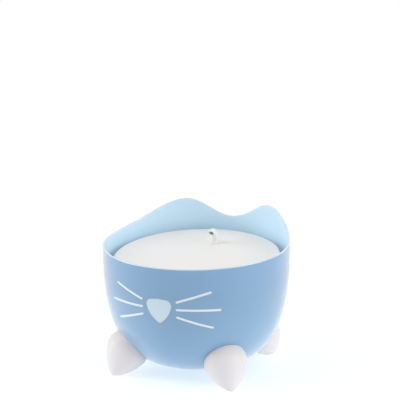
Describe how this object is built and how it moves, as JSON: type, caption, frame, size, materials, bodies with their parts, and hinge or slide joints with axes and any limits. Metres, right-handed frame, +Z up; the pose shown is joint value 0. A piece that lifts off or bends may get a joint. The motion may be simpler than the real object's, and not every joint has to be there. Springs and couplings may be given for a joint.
{
  "type": "pet water fountain",
  "caption": "Round pale blue pet water fountain with cat ears, nose and whiskers, standing on rounded white feet, with pump, riser tube, filter tray, sloping lid and small swivelling spout",
  "frame": {"origin": "centre of the round bowl, on the floor that the feet stand on", "axes": "+Z up, the face (nose and whiskers) looks along -Y, +X is on the right of someone who looks at the face from behind the bowl"},
  "size_m": [0.2358, 0.2438, 0.1934],
  "materials": {
    "shell_blue": "glossy pale blue injection-moulded shell",
    "face_pale": "glossy translucent pale blue",
    "white_shell": "satin white injection-moulded plastic",
    "pump_white": "matte off-white plastic",
    "tube_silicone": "clear silicone",
    "flange_pale": "pale blue-green film with a soft sheen",
    "carbon_fleece": "grey fleece over carbon granules",
    "resin_fleece": "white fleece over amber resin beads",
    "cord_white": "smooth white cord jacket",
    "plug_white": "matte white plastic",
    "plug_steel": "plain pressed steel",
    "shaft_ceramic": "ground white ceramic",
    "magnet_ferrite": "dark grey ferrite",
    "lens_red": "glossy red lens"
  },
  "bodies": {
    "bowl_body": {"bowl": "shell_blue", "nose_window": "face_pale", "whisker_inlays": "face_pale", "foot_front_left": "white_shell", "foot_front_right": "white_shell", "foot_rear_left": "white_shell", "foot_rear_right": "white_shell", "duct_cover": "face_pale", "power_cord": "cord_white", "cord_coil": "cord_white", "cord_tie": "cord_white", "usb_plug_grip": "plug_white", "usb_plug_shell": "plug_steel"},
    "pump_body": {"pump_housing": "pump_white", "pump_nozzle": "pump_white", "intake_cover": "pump_white", "impeller_shaft": "shaft_ceramic", "indicator_lens": "lens_red", "cord_gland": "pump_white", "pump_lead": "cord_white"},
    "knob_body": {"flow_knob": "pump_white"},
    "impeller_body": {"impeller_wheel": "pump_white", "impeller_magnet": "magnet_ferrite"},
    "tube_body": {"riser_tube": "tube_silicone"},
    "tray_body": {"filter_tray": "white_shell", "tube_cap": "white_shell"},
    "ring_body": {"pull_ring": "white_shell"},
    "filter_body": {"filter_flange": "flange_pale", "carbon_pads": "carbon_fleece", "resin_pads": "resin_fleece"},
    "lid_body": {"drinking_lid": "white_shell"},
    "collar_body": {"spout_collar": "white_shell"},
    "elbow_body": {"spout_elbow": "white_shell"}
  },
  "joints": [
    {"name": "pump_lift", "type": "slide", "parent": "bowl_body", "child": "pump_body", "axis": [0, 0, 1], "range_m": [0, 0.126], "deforming": ["pump_lead"]},
    {"name": "tube_lift", "type": "slide", "parent": "pump_body", "child": "tube_body", "axis": [0, 0, 1], "range_m": [0, 0.014]},
    {"name": "tray_lift", "type": "slide", "parent": "tube_body", "child": "tray_body", "axis": [0, 0, 1], "range_m": [0, 0.042]},
    {"name": "filter_lift", "type": "slide", "parent": "tray_body", "child": "filter_body", "axis": [0, 0, 1], "range_m": [0, 0.053]},
    {"name": "lid_lift", "type": "slide", "parent": "filter_body", "child": "lid_body", "axis": [0, 0, 1], "range_m": [0, 0.0235]},
    {"name": "spout_lift", "type": "slide", "parent": "lid_body", "child": "collar_body", "axis": [0, 0, 1], "range_m": [0, 0.0246]},
    {"name": "spout_swivel", "type": "hinge", "parent": "collar_body", "child": "elbow_body", "pos_m": [0, 0.058, 0.1523], "axis": [0, 0, -1], "range_deg": [-70, 70]},
    {"name": "ring_fold", "type": "hinge", "parent": "tray_body", "child": "ring_body", "pos_m": [0.0333, 0.0502, 0.1323], "axis": [1, 0, 0], "range_deg": [0, 90]},
    {"name": "knob_slide", "type": "slide", "parent": "pump_body", "child": "knob_body", "axis": [-0.7431, 0.6691, 0], "range_m": [-0.003, 0.003]},
    {"name": "impeller_spin", "type": "hinge", "parent": "pump_body", "child": "impeller_body", "pos_m": [0, 0.058, 0.0495], "axis": [0.6691, 0.7431, 0], "continuous": true}
  ],
  "couplings": [
    {"joint": "ring_fold", "follows": "filter_lift", "rad_per_m": 29.4}
  ]
}
